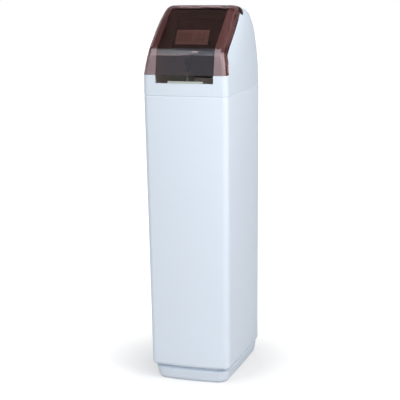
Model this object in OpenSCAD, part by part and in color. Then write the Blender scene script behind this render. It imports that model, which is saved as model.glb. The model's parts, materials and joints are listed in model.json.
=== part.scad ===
// Slim cabinet water softener: a moulded salt cabinet with a hood and a flip-up smoked lid,
// round a resin vessel with its control valve, brine well and safety float.
// X points right seen from the front, Y to the back and Z up. Z = 0 is the floor.

/* [Cabinet] */
// Overall height
overall_h = 1130; // [1090:1:1180]
// Width of the cabinet at the seam under the hood
cabinet_w = 260; // [252:1:280]
// Width of the cabinet just above the plinth
cabinet_foot_w = 247; // [243:1:262]
// Depth from the front corners to the back at the seam
cabinet_d = 365; // [358:1:400]
// Depth from the front corners to the back just above the plinth
cabinet_foot_d = 356; // [350:1:380]
// Height of the recessed plinth
plinth_h = 45; // [30:1:60]
// How far the plinth stands back from the body
plinth_inset = 16; // [10:1:17]
// Radius of the plinth's upright corners
plinth_corner_r = 26; // [16:1:34]
// Depth of the groove between the plinth and the body
step_groove = 5; // [2:0.5:6]
// Wall thickness of the cabinet
cabinet_wall = 4.5; // [3:0.5:5.5]
// Thickness of the cabinet's floor
floor_t = 10; // [6:1:14]
// Forward bow of the front face
front_bow = 7; // [2:0.5:12]
// Outward bow of each side face
side_bow = 2.5; // [0:0.5:5]
// Radius of the upright corners at the front
front_corner_r = 16; // [12:1:26]
// Radius of the upright corners at the back
back_corner_r = 40; // [30:1:50]
// Radius of the rounded edge over the plinth
foot_edge_r = 12; // [6:1:16]

/* [Hood and lid] */
// Height of the hood above the seam
hood_h = 254; // [250:1:262]
// Wall thickness of the hood
hood_wall = 3.2; // [2.5:0.1:4]
// Thickness of the lid
lid_t = 3; // [2:0.1:3.5]
// Gap between the lid and the hood all round
lid_gap = 0.5; // [0.4:0.1:0.8]
// Height of the lid's lower edge above the seam
lid_bottom_rise = 62; // [50:1:70]
// Height of the crease above the lid's lower edge
crease_rise = 77; // [66:1:84]
// Lean of the lower face of the lid, in degrees from upright
lower_lean = 12; // [6:0.5:16]
// Lean of the upper face of the lid, in degrees from upright
upper_lean = 51; // [48:0.5:53]
// Radius that joins the upper face to the top
top_sweep_r = 60; // [48:1:66]
// Radius of the hood's top edges at the sides and the back
top_edge_r = 16; // [14:1:18]
// Fall of the hood's top behind the lid, in degrees
roof_fall = 13; // [12:0.5:16]
// How far the back leans in towards the top
back_lean = 96; // [80:1:100]
// How far each side leans in towards the top
side_lean = 2; // [0:0.5:5]
// How far each side curls in just under the top
side_curl = 19; // [15:0.5:21]
// How far each side draws in to the front at the crease
nose_in = 15; // [8:0.5:17]
// How far each side draws in to the front at the top
nose_top_in = 12; // [8:0.5:14]
// Width of the lid's side returns along the upper face
return_w = 26; // [24:0.5:30]
// Width of the lid's side returns along the lower face
low_return_w = 21; // [19:0.5:24]
// Radius of the lid's round ears, and depth of their axis under the top
ear_r = 14; // [13.5:0.1:15]
// Distance of the hinge axis behind the front edge of the top
hinge_behind = 7.5; // [6:0.5:9]
// Width of the hood's front opening
opening_w = 178; // [170:1:182]
// Height of the finger notch under the lid's edge
notch_h = 24; // [16:1:28]
// Width of the lip behind the notch
lip_w = 108; // [60:1:120]
// Height of the lip above the bottom of the notch
lip_h = 9; // [6:0.5:12]
// Width of the pipe cut-out at the back of the hood
pipe_cut_w = 184; // [180:1:192]
// Height of the pipe cut-out above the seam
pipe_cut_h = 112; // [106:1:120]
// Radius of the lid's hinge stubs
stub_r = 4; // [3:0.5:4.5]

/* [Vessel] */
// Outer radius of the pressure vessel
vessel_r = 102.5; // [96:0.5:104]
// Height of the vessel's neck above the seam
neck_rise = 35; // [32:1:38]
// Wall thickness of the vessel
vessel_wall = 4; // [3:0.5:6]
// Radius of the vessel's neck
neck_r = 50; // [46:1:54]
// Radius of the bore in the neck
neck_bore_r = 32; // [31:0.5:34]
// Height of the neck above the dome
neck_h = 25; // [18:1:32]
// Distance of the vessel's axis behind the middle
vessel_y = 62; // [58:1:64]
// Height of the vessel's lowest point above the cabinet floor
vessel_lift = 12; // [8:1:16]
// Height of the boot
boot_h = 100; // [90:1:130]
// Height of the resin above the bottom of the vessel
resin_h = 560; // [400:10:650]
// Outer radius of the riser tube
riser_r = 13.35; // [12:0.05:13.35]
// Wall thickness of the riser tube
riser_wall = 2.8; // [2:0.1:4]

/* [Valve] */
// Width of the valve body
valve_w = 100; // [96:1:104]
// Height of the valve body
valve_h = 51; // [48:1:54]
// Distance between the inlet and outlet ports
port_pitch = 64; // [60:1:68]
// Outer radius of the ports
port_r = 16; // [15:0.5:17]
// Bore radius of the ports
port_bore_r = 11; // [10:0.5:12]
// Outer radius of the connector tails
tail_r = 13.2; // [12:0.1:14]
// Bore radius of the connector tails
tail_bore_r = 9.5; // [8:0.5:10]
// Tooth size of the gear pair
gear_module = 1.5; // [1.3:0.1:1.6]
// Width of the control head
head_w = 156; // [150:1:164]
// Width of the front panel
panel_w = 102; // [100:1:112]
// Height of the front panel along the slope
panel_h = 48; // [44:1:52]
// Sideways offset of the front panel
panel_x = -18; // [-18:1:10]
// Radius of the push buttons
button_r = 4.5; // [3.5:0.1:5]
// Distance between the push buttons
button_pitch = 15; // [14:0.5:17]

/* [Brine side] */
// Outer radius of the brine well
well_r = 36; // [34:0.5:37]
// Depth of the brine well's rim under the seam
well_drop = 96; // [86:1:180]
// Outer radius of the brine tube
brine_tube_r = 4.8; // [4:0.1:5]
// Radius of the float
float_r = 22; // [16:0.5:24]
// Height of the float
float_h = 60; // [40:1:80]
// Height of the float's lower stop
float_stop_z = 400; // [300:5:410]

/* [Hidden] */
$fn = 64;

// Clearances: a running fit, a loose seat, a cut that just clears a face and one that clears a whole wall
fit_gap = 0.05;
seat_gap = 0.3;
cut = 1;
over = 60;

// Plan of the cabinet and hood at the seam
seam_z = overall_h - hood_h;
back_y = (cabinet_d + front_bow) / 2;
front_y = back_y - cabinet_d;
foot_shift = (cabinet_d - cabinet_foot_d) / 2;
foot_back_y = back_y - foot_shift;
foot_front_y = foot_back_y - cabinet_foot_d;
seam_bevel = 2;
least_r = 4;
plinth_bevel = 3;
rim_h = 20;

// Hood outline: two straight faces that meet at the crease, then a sweep to the top and a falling roof
lid_bottom_z = seam_z + lid_bottom_rise;
notch_z = lid_bottom_z - notch_h;
crease_z = lid_bottom_z + crease_rise;
crease_y = front_y + crease_rise * tan(lower_lean);
edge_z = overall_h - top_edge_r;
sweep_z = overall_h - top_sweep_r;
sweep_start_z = sweep_z + top_sweep_r * sin(upper_lean);
sweep_y = upper_face(sweep_start_z, 0) + top_sweep_r * cos(upper_lean);
curl_power = 8;
back_power = 2.2;
nose_power = 1.5;
ridge_soft = 14;
lip_inset = cabinet_wall + lid_gap;
lip_t = 2.5;
lip_drop = 10;
notch_lip_t = 3;
notch_lip_back = 7;
notch_lip_root = 6;
return_corner_r = 9;

// Hinge of the lid: stubs in two arms under the top bar, with room for the ears and the rolled back edge
hinge_y = sweep_y + hinge_behind;
hinge_z = overall_h - ear_r;
bar_depth = 23;
bar_front_y = hinge_y - bar_depth;
arm_inner_x = opening_w / 2 + 1;
arm_t = 7;
arm_drop = 4;
arm_head_r = ear_r - lid_t - arm_drop;
shoulder_t = 5;
cheek_t = 3;
cheek_angles = [222, 268];
roll_angles = [8, 70];
roll_step = 0.2;
swing_r = ear_r + lid_gap;
trench_d = swing_r + 1.5;
roof_y = hinge_y + trench_d + 2.5;
boss_r = 6.5;
boss_clear = 1;
trench_w = 2 * (hood_side_x(hinge_y, edge_z) - shoulder_t);
cheek_x = hood_side_x(hinge_y + ear_r, hinge_z + ear_r / 4) - lid_t - lid_gap;

// Vessel heights and the valve that sits on its neck
vessel_z = floor_t + vessel_lift;
neck_z = seam_z + neck_rise;
dome_h = vessel_r / 2;
low_dome_z = vessel_z + dome_h;
shoulder_z = neck_z - neck_h - dome_h;
strainer_r = 27;
strainer_h = 60;
strainer_wall = 2.5;
strainer_end = 4;
strainer_slot = 2;
strainer_z = vessel_z + vessel_wall + 6;
top_strainer_h = 40;
riser_z = strainer_z + strainer_end;
boot_t = 2;
boot_slot_w = 12;
boot_slot_h = 16;
boot_foot_gap = 8;
seal_t = 2;
seal_edge = 4;
flange_z = neck_z + seal_t;
flange_h = 18;
flange_r = neck_r + 2;
block_z = flange_z + flange_h;
riser_top_z = block_z + 12;
chamber_z = block_z + valve_h;
chamber_h = 20;
chamber_r = 36;
chamber_wall = 4;
chamber_floor = 3;
block_front = 42;
block_back = 48;
port_z = block_z + valve_h / 2;
port_len = 24;
port_end_y = vessel_y + block_back + port_len;
tail_end_y = back_y - 2;
nut_r = 21;
nut_len = 20;
nut_over = 4;
side_port_len = 6;
side_port_wall = 3;
side_bore_depth = 20;
drain_port_y = vessel_y + 18;
drain_port_r = 9;
brine_port_y = vessel_y - 22;
brine_port_r = 7;
elbow_wall = 3;
elbow_gap = 1;
turbine_y = vessel_y + block_back + 2;
turbine_len = 14;
turbine_hub_r = 3.2;
turbine_vanes = 4;
vane_t = 1.4;
vane_slant = 28;
vane_clear = 1.7;
axle_r = 1.2;
spider_gap = 5;
spider_t = 3;
spider_w = 2;
disc_t = 6;
disc_r = chamber_r - chamber_wall - seat_gap;
disc_gap = 0.1;
fixed_disc_z = chamber_z + chamber_floor;
moving_disc_z = fixed_disc_z + disc_t + disc_gap;
base_z = chamber_z + chamber_h;
base_t = 4;
gear_teeth = 48;
pinion_teeth = 12;
gear_t = 8;
gear_z = base_z + base_t + 6;
gear_slack = 0.6;
gear_centres = gear_module * (gear_teeth + pinion_teeth) / 2 + gear_slack;
gear_hub_h = 4;
gear_hub_in = 8;
pinion_angle = 225;
pinion_x = gear_centres * cos(pinion_angle);
pinion_y = vessel_y + gear_centres * sin(pinion_angle);
pinion_bore_r = 2;
shaft_r = 6;
motor_r = 18;
motor_h = 28;
motor_gap = 4;
motor_leg = 6;
motor_strap_w = 10;
motor_strap_t = 3;

// Control head: side outline of the cover and the frame of the sloping front
head_wall = 3;
head_front_y = -60;
head_back_y = 110;
head_sill = 10;
head_slope_run = 46;
head_slope_rise = 74;
head_top_y = 80;
head_top_drop = 31;
slope_angle = atan2(head_slope_rise, head_slope_run);
head_top_z = base_z + head_sill + head_slope_rise;
panel_along = 29;
panel_y = head_front_y + panel_along * cos(slope_angle);
panel_z = base_z + head_sill + panel_along * sin(slope_angle);
panel_t = 3;
window_w = 46;
window_h = 28;
window_t = 1.6;
window_x = -24;
button_proud = 2;
button_len = 7;
button_flange_t = 1.2;
button_flange_over = 1;
button_slack = 0.1;
buttons_x = 22;
button_places = [for (row = [1, -1], col = [0, 1]) [buttons_x + col * button_pitch, row * button_pitch / 2]];
socket_r = 6;
socket_bore_r = 2.8;
socket_rim = 3;
socket_rim_t = 2;
socket_in = 10;
socket_out = 6;
socket_x = 54;
socket_z = base_z + 18;

// Drain tail with hose barbs
elbow_reach = 14;
drain_tail_r = 6.5;
drain_bore_r = 4;
barb_r = 8;
barb_len = 6;
barb_pitch = 8;
barb_first = 12;
barbs = 4;

// Brine side, with the well in the front left corner of the cabinet
well_wall = 2;
well_slots = 8;
well_slot_w = 5;
well_slot_h = 60;
well_slot_up = 12;
well_side_gap = 1;
well_front_gap = 10;
well_x = well_r + well_side_gap + cabinet_wall + plinth_inset - cabinet_foot_w / 2;
well_y = foot_front_y + plinth_inset + cabinet_wall + well_r + well_front_gap;
well_top_z = seam_z - well_drop;
cap_t = 4;
cap_skirt = 10;
cap_over = 3;
cap_wall = 3;
bend_r = 25;
tube_bore_share = 0.65;
tube_depth = 18;
brine_bore_r = 3;
brine_drop = 52;
brine_tail = 32;
brine_drop_z = port_z - brine_drop;
brine_run_z = brine_drop_z - bend_r;
rod_r = 6;
rod_drop = 140;
rod_top_z = well_top_z - rod_drop;
rod_head_r = 15;
rod_head_h = 30;
rod_seat = 12;
cage_r = 20;
cage_h = 46;
cage_slot = 3;
cage_end = 8;
collar_r = 9;
collar_h = 8;
float_slack = 0.1;

// Overflow pocket in the back wall
pocket_x = 78;
pocket_w = 44;
pocket_drop = 186;
pocket_z = seam_z - pocket_drop;
pocket_h = 86;
pocket_d = 24;
pocket_back_y = blend(foot_back_y, back_y, (pocket_z - plinth_h) / (seam_z - plinth_h)) - pocket_d;
overflow_r = 8;
overflow_wall = 2.5;
overflow_flange = 5;
overflow_flange_t = 2;
overflow_nut_t = 6;
overflow_tail = 42;
overflow_top = 26;
overflow_z = pocket_z + pocket_h - overflow_top;

// Points of an arc, both ends included
function arc_points(cx, cy, r, from, to, steps = 6) =
    [for (i = [0:steps]) let (a = from + (to - from) * i / steps) [cx + r * cos(a), cy + r * sin(a)]];

// Straight run between two points, ends left out
function run_points(a, b, steps) = [for (i = [1:steps - 1]) a + (b - a) * i / steps];

function reversed(list) = [for (i = [len(list) - 1:-1:0]) list[i]];
function blend(a, b, share) = a + (b - a) * share;
function soft_min(a, b, soft) = (a + b - sqrt(pow(a - b, 2) + pow(soft, 2))) / 2;

// Rounded plan outline between a front and a back line, before its faces are bowed
function plan_points(half_w, front, back, front_r, back_r) = concat(
    arc_points(half_w - front_r, front + front_r, front_r, 270, 360),
    run_points([half_w, front + front_r], [half_w, back - back_r], 4),
    arc_points(half_w - back_r, back - back_r, back_r, 0, 90),
    arc_points(-half_w + back_r, back - back_r, back_r, 90, 180),
    run_points([-half_w, back - back_r], [-half_w, front + front_r], 4),
    arc_points(-half_w + front_r, front + front_r, front_r, 180, 270),
    run_points([-half_w + front_r, front], [half_w - front_r, front], 8));

// Closed ring at one height, with the front and the sides bowed outwards and the sides drawn in to the front
function ring(z, half_w, front, back, front_r, back_r, draw_in = 0) =
    let (mid = (front + back) / 2, half_d = (back - front) / 2)
    [for (p = plan_points(half_w, front, back, front_r, back_r))
        let (across = 1 - pow(p.x / half_w, 2),
             along = 1 - pow((p.y - mid) / half_d, 2),
             ahead = max(0, (mid - p.y) / half_d),
             out = side_bow * along - draw_in * pow(ahead, 2))
        [p.x * (1 + out / half_w), p.y - front_bow * across * pow(ahead, 6), z]];

// Cabinet ring at height z, set in from the outer face
function cabinet_ring(z, inset, front_r, back_r) =
    let (share = max(0, (z - plinth_h) / (seam_z - plinth_h)),
         half_w = blend(cabinet_foot_w, cabinet_w, share) / 2 - inset,
         front = blend(foot_front_y, front_y, share) + inset,
         back = blend(foot_back_y, back_y, share) - inset)
    ring(z, half_w, front, back, front_r, back_r);
function body_ring(z, inset) =
    cabinet_ring(z, inset, max(front_corner_r - inset, least_r), max(back_corner_r - inset, least_r));
function plinth_ring(z, inset) =
    cabinet_ring(z, plinth_inset + inset, plinth_corner_r - inset, plinth_corner_r - inset);

// Hood outline against height, set in square to its faces
function rise(z) = max(0, (z - seam_z) / hood_h);
function edge_round(z, inset) =
    z <= edge_z ? inset : top_edge_r - sqrt(max(0, pow(top_edge_r - inset, 2) - pow(z - edge_z, 2)));
function lower_face(z, inset) = front_y + (z - lid_bottom_z) * tan(lower_lean) + inset / cos(lower_lean);
function upper_face(z, inset) = crease_y + (z - crease_z) * tan(upper_lean) + inset / cos(upper_lean);
function swept(z, inset) = sweep_y - sqrt(max(0, pow(top_sweep_r - inset, 2) - pow(z - sweep_z, 2)));
function hood_front(z, inset) =
    z > sweep_z + (top_sweep_r - inset) * sin(upper_lean) ? swept(z, inset)
    : max(front_y + inset, lower_face(z, inset), upper_face(z, inset));
function hood_half_w(z) = cabinet_w / 2 - side_lean * rise(z) - side_curl * pow(rise(z), curl_power);
function hood_back(z) = back_y - back_lean * pow(rise(z), back_power);
function roof_line(z, inset) = roof_y + (overall_h - z - inset / cos(roof_fall)) / tan(roof_fall);
function nose(z) =
    z <= lid_bottom_z ? 0
    : z <= crease_z ? nose_in * pow((z - lid_bottom_z) / crease_rise, nose_power)
    : blend(nose_in, nose_top_in, (z - crease_z) / (overall_h - crease_z));
function hood_side_x(y, z) =
    let (mid = (hood_front(z, 0) + hood_back(z)) / 2,
         half_d = (hood_back(z) - hood_front(z, 0)) / 2,
         ahead = max(0, (mid - y) / half_d))
    hood_half_w(z) + side_bow * (1 - pow((y - mid) / half_d, 2)) - nose(z) * pow(ahead, 2);

function hood_ring(z, inset) =
    let (edge = edge_round(z, inset),
         half_w = hood_half_w(z) - edge,
         front = hood_front(z, inset),
         back = soft_min(hood_back(z) - edge, roof_line(z, inset), ridge_soft),
         room = (back - front) * 0.42,
         front_r = min(max(front_corner_r - inset, least_r), room),
         back_r = min(max(back_corner_r - inset, least_r), room))
    ring(z, half_w, front, back, front_r, back_r, nose(z));

// Heights of the hood's rings from a given level to the top
function hood_levels(from, inset) = concat(
    [from],
    [for (share = [0, 0.4, 0.7, 0.88, 1]) let (z = blend(lid_bottom_z, crease_z, share)) if (z > from) z],
    [for (share = [0.25, 0.5, 0.75, 0.9]) blend(crease_z, edge_z, share)],
    [for (a = [0, 20, 40, 60, 76, 90]) edge_z + (top_edge_r - inset) * sin(a)]);

// Solid skin through a row of rings, closed by the first and the last of them
module loft(rings) {
    n = len(rings[0]);
    last = len(rings) - 1;
    polyhedron(
        points = [for (r = rings) each r],
        faces = concat(
            [[for (i = [0:n - 1]) i]],
            [for (j = [0:last - 1], i = [0:n - 1]) each
                let (k = (i + 1) % n, a = j * n)
                [[a + i, a + n + i, a + n + k], [a + i, a + n + k, a + k]]],
            [[for (i = [n - 1:-1:0]) last * n + i]]),
        convexity = 8);
}

// Outer rings of the hood's form from a level up, as one solid
module hood_form(from, inset) {
    loft([for (z = hood_levels(from, inset)) hood_ring(z, inset)]);
}

// Side outlines are drawn with Y across and Z up, then stand along X
module along_x(width) {
    rotate([90, 0, 90])
        translate([0, 0, -width / 2])
            linear_extrude(width) children();
}

// Tube or rod along Y
module along_y(from, to) {
    translate([0, from, 0])
        rotate([-90, 0, 0])
            linear_extrude(to - from) children();
}

// Region that the lid covers, seen from the side, with its return and kink, up to the hinge
module lid_zone(grow) {
    far_y = front_y - over;
    high_z = overall_h + over;
    low_z = lid_bottom_z - grow;
    low_in = low_return_w + grow;
    high_in = return_w + grow;
    lean_step = tan(upper_lean) - tan(lower_lean);
    kink_z = crease_z + (low_in / cos(lower_lean) - high_in / cos(upper_lean)) / lean_step;
    meet_z = hinge_z - return_w / 2;
    corner_r = return_corner_r;
    polygon(concat(
        [[far_y, low_z]],
        arc_points(lower_face(low_z, low_in) - corner_r, low_z + corner_r, corner_r, 270, 360),
        [[lower_face(kink_z, low_in), kink_z], [upper_face(meet_z, high_in), meet_z], [hinge_y, hinge_z],
         [hinge_y, high_z], [far_y, high_z]]));
}

// Blow moulded tank: plinth, groove, rounded foot, tapered walls and a flat rim, with an even wall
module cabinet() {
    groove_h = 2 * step_groove;
    bottom = [plinth_ring(0, plinth_bevel), plinth_ring(plinth_bevel, 0), plinth_ring(plinth_h - groove_h, 0),
              plinth_ring(plinth_h - groove_h / 2, step_groove)];
    foot = [for (a = [10, 30, 50, 70, 90])
        body_ring(plinth_h + foot_edge_r * (1 - cos(a)), foot_edge_r * (1 - sin(a)))];
    rim = [body_ring(seam_z - seam_bevel, 0), body_ring(seam_z, seam_bevel), body_ring(seam_z, cabinet_wall)];
    inside = [body_ring(seam_z - rim_h, cabinet_wall), body_ring(plinth_h + foot_edge_r + 6, cabinet_wall),
              plinth_ring(plinth_h + 4, cabinet_wall), plinth_ring(floor_t, cabinet_wall + 2)];
    pocket_low_x = pocket_x - pocket_w / 2;
    pocket_wall = [cabinet_wall, cabinet_wall, cabinet_wall];
    color("white")
        difference() {
            union() {
                loft(concat(bottom, foot, rim, inside));
                translate([pocket_low_x, pocket_back_y, pocket_z] - pocket_wall)
                    cube([pocket_w + 2 * cabinet_wall, pocket_d + 2 * cut, pocket_h + 2 * cabinet_wall]);
            }
            translate([pocket_low_x, pocket_back_y, pocket_z])
                cube([pocket_w, pocket_d + over, pocket_h]);
            translate([pocket_x, 0, overflow_z])
                along_y(pocket_back_y - over, back_y)
                    circle(overflow_r + seat_gap);
        }
}

// Moulded cover with a rebate for the lid, a front opening with finger notch, and two hinge arms
module hood() {
    rebate = lid_t + 2 * lid_gap;
    shell = rebate + hood_wall;
    lip_inner = lip_inset + lip_t;
    inside = [for (z = reversed(hood_levels(seam_z + rim_h, shell))) hood_ring(z, shell)];
    rim = [for (p = [[seam_z + least_r, lip_inner], [seam_z - lip_drop, lip_inner],
                     [seam_z - lip_drop, lip_inset], [seam_z, lip_inset], [seam_z, seam_bevel],
                     [seam_z + seam_bevel, 0]])
        hood_ring(p[0], p[1])];
    outside = [for (z = hood_levels(lid_bottom_z, 0)) hood_ring(z, 0)];
    color("white") {
        difference() {
            union() {
                difference() {
                    loft(concat(inside, rim, outside));
                    difference() {
                        along_x(2 * cabinet_w) lid_zone(lid_gap);
                        hood_form(notch_z, rebate);
                    }
                }
                for (side = [-1, 1])
                    hinge_cheek(side);
            }
            // front opening, down to the bottom of the finger notch
            along_x(opening_w)
                polygon([[front_y - over, notch_z], [bar_front_y, notch_z], [bar_front_y, overall_h + over],
                         [front_y - over, overall_h + over]]);
            // room for the lid's rolled back edge, its ears and its hinge bosses
            along_x(2 * cheek_x)
                intersection() {
                    translate([hinge_y, hinge_z]) circle(swing_r);
                    translate([hinge_y, hinge_z - 2 * ear_r]) square(4 * ear_r);
                }
            along_x(trench_w)
                translate([hinge_y, hinge_z]) square([trench_d, over]);
            for (side = [-1, 1])
                translate([side * cheek_x, hinge_y, hinge_z])
                    rotate([0, side * 90, 0]) cylinder(r = swing_r + seat_gap, h = over);
            along_x(2 * cabinet_w)
                translate([hinge_y, hinge_z]) circle(boss_r + boss_clear);
            // cut-out for the pipes at the back
            translate([-pipe_cut_w / 2, vessel_y, seam_z - over])
                cube([pipe_cut_w, cabinet_d, over + pipe_cut_h]);
        }
        notch_lip(front_y - front_bow + shell - cut);
        for (side = [-1, 1])
            hinge_arm(side);
    }
}

// Shelf and upright lip behind the finger notch
module notch_lip(wall_y) {
    low_z = notch_z - notch_lip_root;
    translate([-lip_w / 2, wall_y, low_z])
        cube([lip_w, notch_lip_back + notch_lip_t, notch_lip_t]);
    translate([-lip_w / 2, wall_y + notch_lip_back, low_z])
        cube([lip_w, notch_lip_t, notch_lip_root + lip_h]);
}

// Piece of a ring round the hinge axis between two angles, seen from the side
module hinge_sector(inner_r, outer_r, from, to) {
    translate([hinge_y, hinge_z])
        polygon(concat(arc_points(0, 0, outer_r, from, to, 10), arc_points(0, 0, inner_r, to, from, 10)));
}

// Wall behind a turning ear, tied to the hood's side below the lid
module hinge_cheek(side) {
    translate([side * (cheek_x + (cheek_t - hood_wall) / 2), 0, 0])
        along_x(hood_wall + cheek_t)
            hinge_sector(boss_r, swing_r + cheek_t, cheek_angles[0], cheek_angles[1]);
}

// Arm under the hood's top bar that carries one of the lid's stubs
module hinge_arm(side) {
    root_y = bar_front_y + arm_drop;
    translate([side * (arm_inner_x + arm_t / 2), 0, 0])
        difference() {
            along_x(arm_t) {
                translate([hinge_y, hinge_z]) circle(arm_head_r);
                translate([root_y, hinge_z - arm_head_r])
                    square([hinge_y - root_y, arm_head_r + ear_r - lid_t - lid_gap - arm_drop]);
            }
            along_x(2 * arm_t)
                translate([hinge_y, hinge_z]) circle(stub_r + fit_gap);
        }
}

// Smoked flap, flush with the hood, with a rolled back edge and a boss and a stub inside each ear
module lid() {
    boss_x = arm_inner_x + arm_t + lid_gap;
    color([0.36, 0.22, 0.18, 0.75]) {
        intersection() {
            loft(concat(
                [for (z = reversed(hood_levels(notch_z, lid_t))) hood_ring(z, lid_t)],
                [for (z = hood_levels(notch_z, 0)) hood_ring(z, 0)]));
            along_x(2 * cabinet_w) {
                lid_zone(0);
                translate([hinge_y, hinge_z]) circle(ear_r);
            }
        }
        intersection() {
            hood_form(notch_z, 0);
            along_x(trench_w - 2 * lid_gap)
                hinge_sector(ear_r - lid_t, ear_r - roll_step, roll_angles[0], roll_angles[1]);
        }
        intersection() {
            hood_form(notch_z, lid_t / 2);
            for (side = [-1, 1])
                translate([side * boss_x, hinge_y, hinge_z])
                    rotate([0, side * 90, 0]) cylinder(r = boss_r, h = over);
        }
        for (side = [-1, 1])
            translate([side * arm_inner_x, hinge_y, hinge_z])
                rotate([0, side * 90, 0]) cylinder(r = stub_r, h = boss_x - arm_inner_x + stub_r);
    }
}

// Half section of the vessel from the axis out, shrunk by an inset
function dome_points(inset, base, sign, steps = 9, least = 0) =
    [for (i = [0:steps]) let (a = 90 * i / steps)
        [max(least, (vessel_r - inset) * cos(a)), base + sign * (dome_h - inset) * sin(a)]];

// Wound pressure vessel with two domes and a threaded neck
module vessel() {
    neck_low = shoulder_z + dome_h * 0.72;
    color([0.62, 0.63, 0.52])
        translate([0, vessel_y, 0])
            rotate_extrude()
                difference() {
                    union() {
                        polygon(concat(
                            reversed(dome_points(0, low_dome_z, -1)),
                            dome_points(0, shoulder_z, 1)));
                        translate([0, neck_low]) square([neck_r, neck_z - neck_low]);
                    }
                    polygon(concat(
                        reversed(dome_points(vessel_wall, low_dome_z, -1)),
                        dome_points(vessel_wall, shoulder_z, 1)));
                    translate([0, shoulder_z]) square([neck_bore_r, neck_z]);
                }
}

// Moulded foot with a dished seat for the vessel's lower dome, narrow enough at its base for the plinth
module vessel_boot() {
    boot_r = vessel_r + seat_gap + boot_t;
    foot_r = cabinet_foot_w / 2 - plinth_inset - cabinet_wall - boot_foot_gap;
    cone_z = plinth_h + 3;
    cone_top_z = plinth_h + foot_edge_r + 5;
    color([0.1, 0.1, 0.11])
        translate([0, vessel_y, 0])
            difference() {
                rotate_extrude()
                    difference() {
                        polygon([[neck_r, floor_t], [foot_r, floor_t], [foot_r, cone_z],
                                 [boot_r, cone_top_z], [boot_r, floor_t + boot_h],
                                 [neck_r, floor_t + boot_h]]);
                        polygon(concat(
                            [[0, low_dome_z + boot_h]],
                            reversed(dome_points(-seat_gap, low_dome_z, -1)),
                            [[vessel_r + seat_gap, low_dome_z + boot_h]]));
                    }
                for (a = [0:45:135])
                    rotate(a)
                        translate([-vessel_r * 2, -boot_slot_w / 2, floor_t])
                            cube([vessel_r * 4, boot_slot_w, boot_slot_h]);
            }
}

// Resin beads as one body, shaped by the vessel and pierced by the riser and its strainer
module resin_bed() {
    inset = vessel_wall + seat_gap;
    color([0.55, 0.4, 0.16])
        translate([0, vessel_y, 0])
            rotate_extrude()
                difference() {
                    polygon(concat(
                        reversed(dome_points(inset, low_dome_z, -1)),
                        [[vessel_r - inset, vessel_z + resin_h], [0, vessel_z + resin_h]]));
                    square([riser_r + seat_gap, vessel_z + 2 * resin_h]);
                    square([strainer_r + seat_gap, strainer_z + strainer_h + seat_gap]);
                }
}

module riser_tube() {
    color([0.9, 0.9, 0.88])
        translate([0, vessel_y, riser_z])
            difference() {
                cylinder(r = riser_r, h = riser_top_z - riser_z);
                translate([0, 0, -cut]) cylinder(r = riser_r - riser_wall, h = riser_top_z);
            }
}

// Basket with upright slots
module strainer(r, h, bore_r, slots) {
    difference() {
        cylinder(r = r, h = h);
        translate([0, 0, strainer_end])
            cylinder(r = r - strainer_wall, h = h - 2 * strainer_end);
        translate([0, 0, strainer_end]) cylinder(r = bore_r, h = h);
        for (i = [0:slots - 1])
            rotate(180 * i / slots)
                translate([-2 * r, -strainer_slot / 2, 2 * strainer_end])
                    cube([4 * r, strainer_slot, h - 4 * strainer_end]);
    }
}

module bottom_strainer() {
    color([0.85, 0.85, 0.82])
        translate([0, vessel_y, strainer_z])
            strainer(strainer_r, strainer_h, riser_r + fit_gap, 8);
}

// Hangs from the valve's spigot round the riser
module top_strainer() {
    h = top_strainer_h;
    color([0.85, 0.85, 0.82])
        translate([0, vessel_y, neck_z - neck_h - h - seat_gap])
            difference() {
                strainer(strainer_r, h, riser_r + seat_gap, 6);
                translate([0, 0, -cut]) cylinder(r = riser_r + seat_gap, h = h + 2 * cut);
            }
}

// Five port body: spigot, flange, block, disc chamber, rear ports and side ports
module valve_body() {
    spigot_r = neck_bore_r - seat_gap;
    low_z = neck_z - neck_h;
    chamber_bore = chamber_r - chamber_wall;
    color([0.13, 0.13, 0.14])
        difference() {
            union() {
                translate([0, vessel_y, low_z]) cylinder(r = spigot_r, h = neck_h + seal_t + cut);
                translate([0, vessel_y, flange_z]) cylinder(r = flange_r, h = flange_h);
                translate([-valve_w / 2, vessel_y - block_front, block_z])
                    cube([valve_w, block_front + block_back, valve_h]);
                translate([0, vessel_y, chamber_z]) cylinder(r = chamber_r, h = chamber_h);
                for (side = [-1, 1])
                    translate([side * port_pitch / 2, 0, port_z])
                        along_y(vessel_y + block_back - cut, port_end_y) circle(port_r);
                translate([0, drain_port_y, port_z])
                    rotate([0, 90, 0]) cylinder(r = drain_port_r, h = valve_w / 2 + side_port_len);
                translate([0, brine_port_y, port_z])
                    rotate([0, -90, 0]) cylinder(r = brine_port_r, h = valve_w / 2 + side_port_len);
            }
            translate([0, vessel_y, low_z - cut])
                cylinder(r = riser_r + fit_gap, h = riser_top_z - low_z + cut);
            translate([0, vessel_y, chamber_z + chamber_floor]) cylinder(r = chamber_bore, h = chamber_h);
            for (side = [-1, 1])
                translate([side * port_pitch / 2, 0, port_z])
                    along_y(vessel_y + port_bore_r, port_end_y + cut) circle(port_bore_r);
            translate([valve_w / 2 - side_bore_depth, drain_port_y, port_z])
                rotate([0, 90, 0]) cylinder(r = drain_port_r - side_port_wall, h = over);
            translate([-valve_w / 2 + side_bore_depth, brine_port_y, port_z])
                rotate([0, -90, 0]) cylinder(r = brine_port_r - side_port_wall, h = over);
        }
    color([0.13, 0.13, 0.14])
        turbine_axle();
}

// Spider and pin in the outlet port that carry the meter wheel
module turbine_axle() {
    arm_len = 2 * (port_bore_r + cut);
    translate([port_pitch / 2, turbine_y - spider_gap, port_z]) {
        for (a = [0, 90])
            rotate([0, a, 0])
                translate([-arm_len / 2, 0, -spider_w / 2]) cube([arm_len, spider_t, spider_w]);
        along_y(0, turbine_len + spider_gap + spider_w) circle(axle_r);
    }
}

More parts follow.
